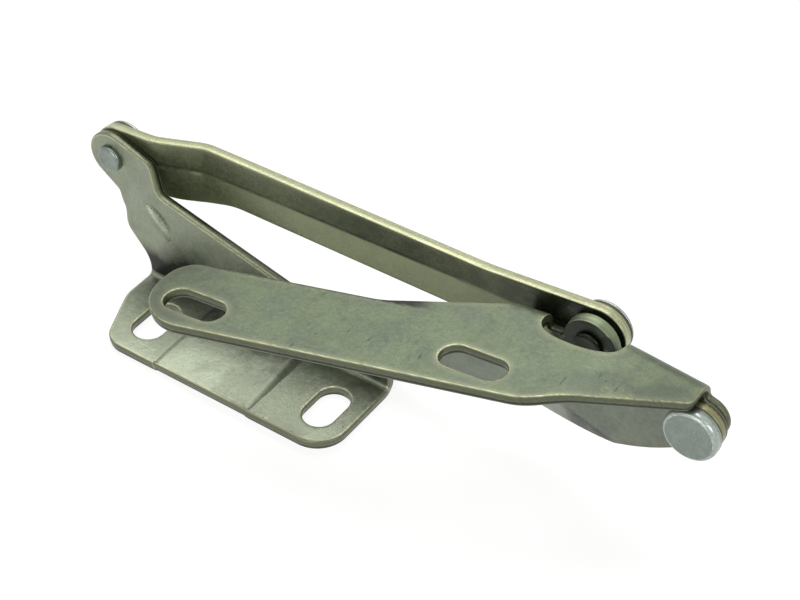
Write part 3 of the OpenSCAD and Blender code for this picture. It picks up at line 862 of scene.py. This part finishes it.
def short_outline():
    """Round ends about both pivots. The upper edge is straight, and the lower one swells into a
    cubic curve near the hood."""
    along = (PIVOT_D - PIVOT_C) / np.hypot(*(PIVOT_D - PIVOT_C))
    down = np.array([along[1], -along[0]])
    belly = bezier(
        PIVOT_C + 47.2 * along + down * (SHORT_ROOT_RADIUS + 1.1),
        PIVOT_C + 60.3 * along + down * (SHORT_ROOT_RADIUS + 4.6),
        PIVOT_D - 20.5 * along + down * 14.3,
        PIVOT_D - 3.0 * along + down * (SHORT_END_RADIUS - 0.5),
    )
    tilt = np.degrees(np.arctan2(along[1], along[0]))
    return outline(
        arc(PIVOT_C, SHORT_ROOT_RADIUS, tilt + 90, tilt + 270),
        belly,
        arc(PIVOT_D, SHORT_END_RADIUS, tilt - 116, tilt + 90),
    )


def short_link():
    """Short link, whose two bores differ because their bushes do."""
    bores = [
        arc(PIVOT_C, SHORT_ROOT_BORE, 0, 360)[:-1],
        arc(PIVOT_D, SHORT_END_BORE, 0, 360)[:-1],
    ]
    sheet_piece(
        "short_link_metal", short_outline(), bores, short_surface, "short_arm",
        short_steel, sheared_edge(0.4, 0.3, 0.3, 0.1), marks=[("painted_shade", short_painted_shade)],
    )


# ---------- hood bracket ----------

HOOD_SLOT = (8, 18)  # width and length
HOOD_SLOT_PLACES = ((1.1, -16.2), (73.8, -1.7))
PLATE_WIDTH = 24.28  # a touch under the CAD's, so that its edges stay within the CAD box
PLATE_SKEW = np.tan(np.radians(11.4))
PLATE_TILT = np.tan(np.radians(6.84))
CREST_FALL = np.tan(np.radians(4.97))
CREST_X = PIVOT_B[0] + 7
CREST_Z = HOOD_FACE[2] / MM + PLATE_TILT * (CREST_X - HOOD_FACE[0] / MM)
PLATE_LEFT = -13.3
PLATE_RIGHT = PIVOT_D[0] - 0.1
WEB_LEFT = PIVOT_B[0] - 19
HOOD_BEND = 2.0
HOOD_BEND_MID = HOOD_BEND + SHEET / 2
HOOD_FOLD_START = HOOD_FRONT - HOOD_BEND
HOOD_FOLD_END = HOOD_FOLD_START + HOOD_BEND_MID * np.pi / 2
EAR_CUT = (PIVOT_B[0] - 11.5, PIVOT_B[0] + 10)
EAR_RADIUS = 7.2
END_RADIUS = 6.0


def plate_top(x):
    """Top of the hood plate: two slopes that meet at the crest, its ridge rounded."""
    rising = CREST_Z - PLATE_TILT * (CREST_X - x)
    falling = CREST_Z - CREST_FALL * (x - CREST_X)
    return rising - above_zero(rising - falling, 0.35)


def fold_s(x, z):
    """Place along the hood bracket's flat pattern of a height on its web."""
    return HOOD_FOLD_END + plate_top(x) - SHEET - HOOD_BEND - z


EAR_CENTRE = np.array([PIVOT_B[0], fold_s(PIVOT_B[0], PIVOT_B[1])])


def hood_surface(x, s):
    """Plate (s is Y), a quarter turn of the fold, then the web, where s goes on down as Z. The
    raised ear is web metal that was cut free, so it stands flat past the fold."""
    on_ear = (s < HOOD_FOLD_END) & (np.hypot(x - EAR_CENTRE[0], s - EAR_CENTRE[1]) < 9)
    turn = np.clip((s - HOOD_FOLD_START) / HOOD_BEND_MID, 0, np.pi / 2)
    turn = np.where(on_ear, np.pi / 2, turn)
    y = np.where(turn <= 0, s, HOOD_FOLD_START + HOOD_BEND_MID * np.sin(turn))
    drop = np.where(on_ear, s - HOOD_FOLD_END, np.maximum(s - HOOD_FOLD_END, 0))
    z = plate_top(x) - SHEET / 2 - HOOD_BEND_MID * (1 - np.cos(turn)) - drop
    return np.stack([x, y, z], -1)


def plate_edge(x, side):
    """Point on the skewed plate's front edge, side -1, or its back edge, side 1."""
    return (x, -9 + (x - 20) * PLATE_SKEW + side * PLATE_WIDTH / 2 * np.hypot(1, PLATE_SKEW))


def on_web(points):
    """Web points given in X and Z, moved to the flat pattern."""
    points = np.atleast_2d(points)
    return np.column_stack([points[:, 0], fold_s(points[:, 0], points[:, 1])])


def hood_outline():
    """Edge of the flat pattern: the plate's front edge, the fold's right end, round the rivet at the
    web's end, back along the web's lower edge, and round the plate's left end."""
    left, bottom = WEB_LEFT, plate_top(WEB_LEFT) - SHEET - HOOD_BEND - 4.5
    under_b = (PIVOT_B[0] - 4, PIVOT_B[1] - EAR_RADIUS - 1.2)
    under_d = (PIVOT_D[0] - 8, PIVOT_D[1] - END_RADIUS + 0.8)
    end = arc(PIVOT_D, END_RADIUS, 82, touch(under_d, PIVOT_D, END_RADIUS, 1))
    return outline(
        (*plate_edge(PLATE_LEFT, -1), 13),
        (*plate_edge(PIVOT_B[0] - 1, -1), 16),
        (PIVOT_B[0] + 8.4, -0.4, 28),
        (PLATE_RIGHT, HOOD_FRONT - 7.4, 3),
        (PLATE_RIGHT, HOOD_FOLD_END),
        on_web(end),
        (*on_web(under_d)[0], 20),
        (*on_web(under_b)[0], 12),
        (*on_web((left, bottom))[0], 3),
        (left, HOOD_FOLD_START + 2.4, 2),
        (*plate_edge(PIVOT_B[0] - 50, 1), 22),
        (*plate_edge(PLATE_LEFT, 1), 8),
    )


def ear_cut():
    """Crescent between the cut-out in the plate and the raised ear, as one closed loop."""
    half = (EAR_CUT[1] - EAR_CUT[0]) / 2
    centre = (EAR_CUT[1] + EAR_CUT[0]) / 2
    front = HOOD_FOLD_START - 5
    shoulder = HOOD_FOLD_END + 0.5
    to_front = bezier(
        (EAR_CUT[0], HOOD_FRONT - 1.5), (centre - half, front + 1),
        (centre - half / 2, front), (centre + 1, front),
    )
    to_back = bezier(
        (centre + 1, front), (centre + 0.7 * half, front),
        (EAR_CUT[1], front + 2), (EAR_CUT[1], HOOD_FRONT - 1),
    )
    ear = on_web(arc(PIVOT_B, EAR_RADIUS, 8, 172))
    return outline(
        (EAR_CUT[0], shoulder, 0.9),
        to_front,
        to_back[1:],
        (EAR_CUT[1], shoulder, 0.9),
        (ear[0, 0] + 0.05, shoulder, 0.8),
        ear[2:-2],
        (ear[-1, 0] - 0.05, shoulder, 0.8),
    )


def ear_distance(x, s):
    """Distance from the raised ear's pivot of a point on the hood bracket's flat pattern."""
    return np.hypot(x - PIVOT_B[0], fold_s(x, s) - PIVOT_B[1])


def hood_painted_shade(x, s):
    """Painted shade on the raised ear and in its pocket and, thick, along the plate's back edge. The
    plate is also a little darker at both ends."""
    away = ear_distance(x, s)
    ear = np.where(away < EAR_RADIUS - 0.2, 1.15 - 0.55 * smooth(x - PIVOT_B[0], 0, 6), 0)
    pocket = 0.95 * (1 - smooth(away, 10, 12)) * smooth(s, HOOD_FRONT - 1, HOOD_FRONT)
    ends = 0.38 * (1 - smooth(x, -12, 8)) + 0.42 * smooth(x, PIVOT_D[0] - 34, PIVOT_D[0] - 6)
    behind = plate_edge(x, 1)[1]
    back_rim = 1.25 * smooth(s, behind - 0.9, behind - 0.1)
    back_rim = back_rim * (1 - smooth(x, WEB_LEFT - 26, WEB_LEFT - 16))
    return np.maximum.reduce([ear, pocket, ends, back_rim])


def hood_pressed(x, s):
    """Lighter wall round the raised ear."""
    away = ear_distance(x, s)
    return 0.62 * smooth(away, EAR_RADIUS - 0.3, EAR_RADIUS - 0.1) * (away < EAR_RADIUS + 0.1)


def hood_bracket():
    """Hood bracket. All edges share one sheared section, except the ear's narrow, crisper one."""
    slots = [stadium(place, *HOOD_SLOT) for place in HOOD_SLOT_PLACES]
    bores = [on_web(arc(p, TENON_BORE, 360, 0, 0.4)[:-1]) for p in (PIVOT_B, PIVOT_D)]
    sheet_piece(
        "hood_bracket_metal", hood_outline(), slots + bores + [ear_cut()], hood_surface,
        "hood_plate", hood_steel,
        [sheared_edge(0.55, 0.45, 0.4, 0.22)] * (1 + len(slots) + len(bores))
        + [sheared_edge(0.25, 0.2, 0.2, 0.08)],
        marks=[("painted_shade", hood_painted_shade), ("pressed", hood_pressed)],
    )


# ---------- rivets ----------

BUTTON_HEIGHT = 3  # head that is seen from the front
HEAD_HEIGHT = 1.5  # flat head behind a pivot
TENON_RADIUS = 3
TENON_LENGTH = 3  # through one sheet
PEEN_RADIUS = 3.8
PEEN_HEIGHT = 1.5
PEEN_EDGE = 0.8
OUT_OF_ROUND = 0.006
SHOULDER = 4.0
ROOT_SHOULDER = 3.3
END_SHOULDER = 4.5


def head_profile(face, back, radius, edge, dome):
    """Half section of a head from its middle out: a face that falls by dome, a rolled rim and a
    flat seat."""
    away = np.sign(back - face)
    across = np.linspace(0.02, 1, 10)
    top = np.column_stack([across * (radius - edge), face + away * dome * across**2])
    turn = np.radians(np.linspace(10, 90, 8))
    rim_depth = edge * (1 - np.cos(turn))
    rim = np.column_stack([radius - edge + edge * np.sin(turn), face + away * (dome + rim_depth)])
    seat = [[radius, back], [radius - 0.15, back], [0.5, back]]
    return np.vstack([top, rim, seat])


def peened_profile(seat, tip, radius):
    """Half section of a hammered-over end: a dished middle inside a rolled rim."""
    away = np.sign(seat - tip)
    across = np.linspace(0.02, 1, 12)
    flat_radius = radius - PEEN_EDGE
    face = np.column_stack([across * flat_radius, tip + away * 0.28 * (1 - across**1.6)])
    turn = np.radians(np.linspace(12, 90, 7))
    rim_depth = PEEN_EDGE * (1 - np.cos(turn))
    rim = np.column_stack([flat_radius + PEEN_EDGE * np.sin(turn), tip + away * rim_depth])
    return np.vstack([face, rim, [[radius * 1.02, seat - away * 0.02], [0.5, seat]]])


def button_rivet(front, back, radius, shoulder):
    """Half section from front to back: button head, shoulder, tenon and peened end."""
    under_head, seat = front + BUTTON_HEIGHT, back - PEEN_HEIGHT
    step = seat - TENON_LENGTH
    head = head_profile(front, under_head, radius, 1.25, 0.12)[:-1]
    shank = [[shoulder, under_head], [shoulder, step], [TENON_RADIUS, step], [TENON_RADIUS, seat]]
    end = peened_profile(seat, back, PEEN_RADIUS)[::-1]
    return np.vstack([head, shank, end[1:]])


def flat_rivet(front, back, radius, shoulder):
    """Half section from front to back: peened end, tenon, shoulder and flat head."""
    under_head, seat = back - HEAD_HEIGHT, front + PEEN_HEIGHT
    step = seat + TENON_LENGTH
    end = peened_profile(seat, front, PEEN_RADIUS)[:-1]
    shank = [[TENON_RADIUS, seat], [TENON_RADIUS, step], [shoulder, step], [shoulder, under_head]]
    head = head_profile(back, under_head, radius, 0.9, 0.35)[::-1]
    return np.vstack([end, shank, head[1:]])


def rivets():
    """Each rivet's half section, turned about its pivot. dirt_and_shade is how much painted shade its
    front end gets.
    """
    for node, body, pivot, profile, shoulder, dirt_and_shade in (
        ("rivet_base_ear", "base", PIVOT_A, flat_rivet, SHOULDER, 0.05),
        ("rivet_hood_ear", "hood_plate", PIVOT_B, flat_rivet, SHOULDER, 1.3),
        ("rivet_base_web", "base", PIVOT_C, flat_rivet, ROOT_SHOULDER, 0.5),
        ("rivet_hood_end", "hood_plate", PIVOT_D, button_rivet, END_SHOULDER, 0.0),
    ):
        front, back = low(node)[1], high(node)[1]
        radius = (high(node)[0] - low(node)[0]) / 2
        turned_piece(
            node + "_metal", pivot, profile(front, back, radius, shoulder), body,
            rivet_steel, ((front + 2, front + 3), (dirt_and_shade, 0.0)), OUT_OF_ROUND,
        )


def bushes_and_washers():
    """New materials for the CAD nodes that stay as they are."""
    for node, material in (
        ("bush_long_link_base", bush_bronze),
        ("bush_long_link_hood", bush_bronze),
        ("bush_short_link_base", bush_bronze),
        ("bush_short_link_hood", bush_bronze),
        ("spacer_hood_ear", washer_steel),
        ("spacer_base_web", washer_steel),
    ):
        mesh = frame["nodes"][node].data
        mesh.materials.clear()
        mesh.materials.append(material)


base_bracket()
long_link()
short_link()
hood_bracket()
rivets()
bushes_and_washers()

# ---------- floor, light and camera, in metres ----------

FLOOR_HALF = 3.0
LAMP_AIM = Vector((0.02, 0.0, 0.02))
CAMERA_TURN = np.radians(34.96)
CAMERA_RISE = np.radians(41.92)
CAMERA_DISTANCE = 0.54993
CAMERA_AIM = Vector((0.01856, 0.04732, 0.0))
SENSOR_WIDTH = 36  # mm
FOCAL_LENGTH = 90  # mm


def floor():
    """Pale floor under the base. The eye and mirror reflections see it as white paper with a faint
    shadow, and it bounces a softer light back."""
    material = bpy.data.materials.new("pale paper backdrop")
    node = new_tree(material)
    direct = seen_directly(node)
    paper = node("BsdfDiffuse", {"Color": linear("#a0a09e")})
    glow = node("Emission", {"Color": linear("#ffffff"), "Strength": 0.86})
    both = node("AddShader", {0: paper, 1: glow})
    shown = node("MixShader", {0: direct, 1: paper, 2: both})
    node("OutputMaterial", {"Surface": shown})
    mesh = bpy.data.meshes.new("floor")
    corners = [(FLOOR_HALF * x, FLOOR_HALF * y, 0) for x, y in ((-1, -1), (1, -1), (1, 1), (-1, 1))]
    mesh.from_pydata(corners, [], [(0, 1, 2, 3)])
    mesh.materials.append(material)
    made = bpy.data.objects.new("floor", mesh)
    bpy.context.scene.collection.objects.link(made)


def seen_directly(node):
    """1 for a ray from the eye, or for one that was mirrored or passed through."""
    seen = 0.0
    for ray in ("Is Camera Ray", "Is Glossy Ray", "Is Transmission Ray"):
        path = node("LightPath", {}, ray)
        seen = node("Math", {0: path, 1: seen}, operation="MAXIMUM")
    return seen


def lamp(name, place, size, watts):
    """White square lamp that faces the hinge."""
    light = bpy.data.lights.new(name, "AREA")
    light.size = size
    light.energy = watts
    made = bpy.data.objects.new(name, light)
    made.location = place
    made.rotation_euler = (LAMP_AIM - made.location).to_track_quat("-Z", "Y").to_euler()
    bpy.context.scene.collection.objects.link(made)


def world():
    """Even soft light all round, white to the eye and to mirror reflections."""
    made = bpy.data.worlds.new("studio")
    node = new_tree(made)
    soft = node("Background", {"Color": linear("#ffffff"), "Strength": 0.10})
    white = node("Background", {"Color": linear("#ffffff"), "Strength": 1.0})
    both = node("MixShader", {0: seen_directly(node), 1: soft, 2: white})
    node("OutputWorld", {"Surface": both})
    bpy.context.scene.world = made


def camera():
    """Long lens, looking down at 42 degrees from 35 degrees to the right of square on."""
    level = np.cos(CAMERA_RISE)
    away = Vector(
        (np.sin(CAMERA_TURN) * level, -np.cos(CAMERA_TURN) * level, np.sin(CAMERA_RISE))
    )
    lens = bpy.data.cameras.new("camera")
    lens.sensor_width = SENSOR_WIDTH
    lens.lens = FOCAL_LENGTH
    lens.clip_start = 0.01
    made = bpy.data.objects.new("camera", lens)
    made.location = CAMERA_AIM + away * CAMERA_DISTANCE
    made.rotation_euler = (-away).to_track_quat("-Z", "Y").to_euler()
    bpy.context.scene.collection.objects.link(made)
    bpy.context.scene.camera = made


floor()
world()
lamp("key", (-0.2, 0.35, 0.85), size=0.75, watts=5.0)
lamp("side", (0.6, -0.1, 0.35), size=0.3, watts=0.8)
lamp("front", (0.1, -0.95, 0.4), size=0.6, watts=2.4)
camera()
bpy.context.scene.view_settings.view_transform = "Standard"
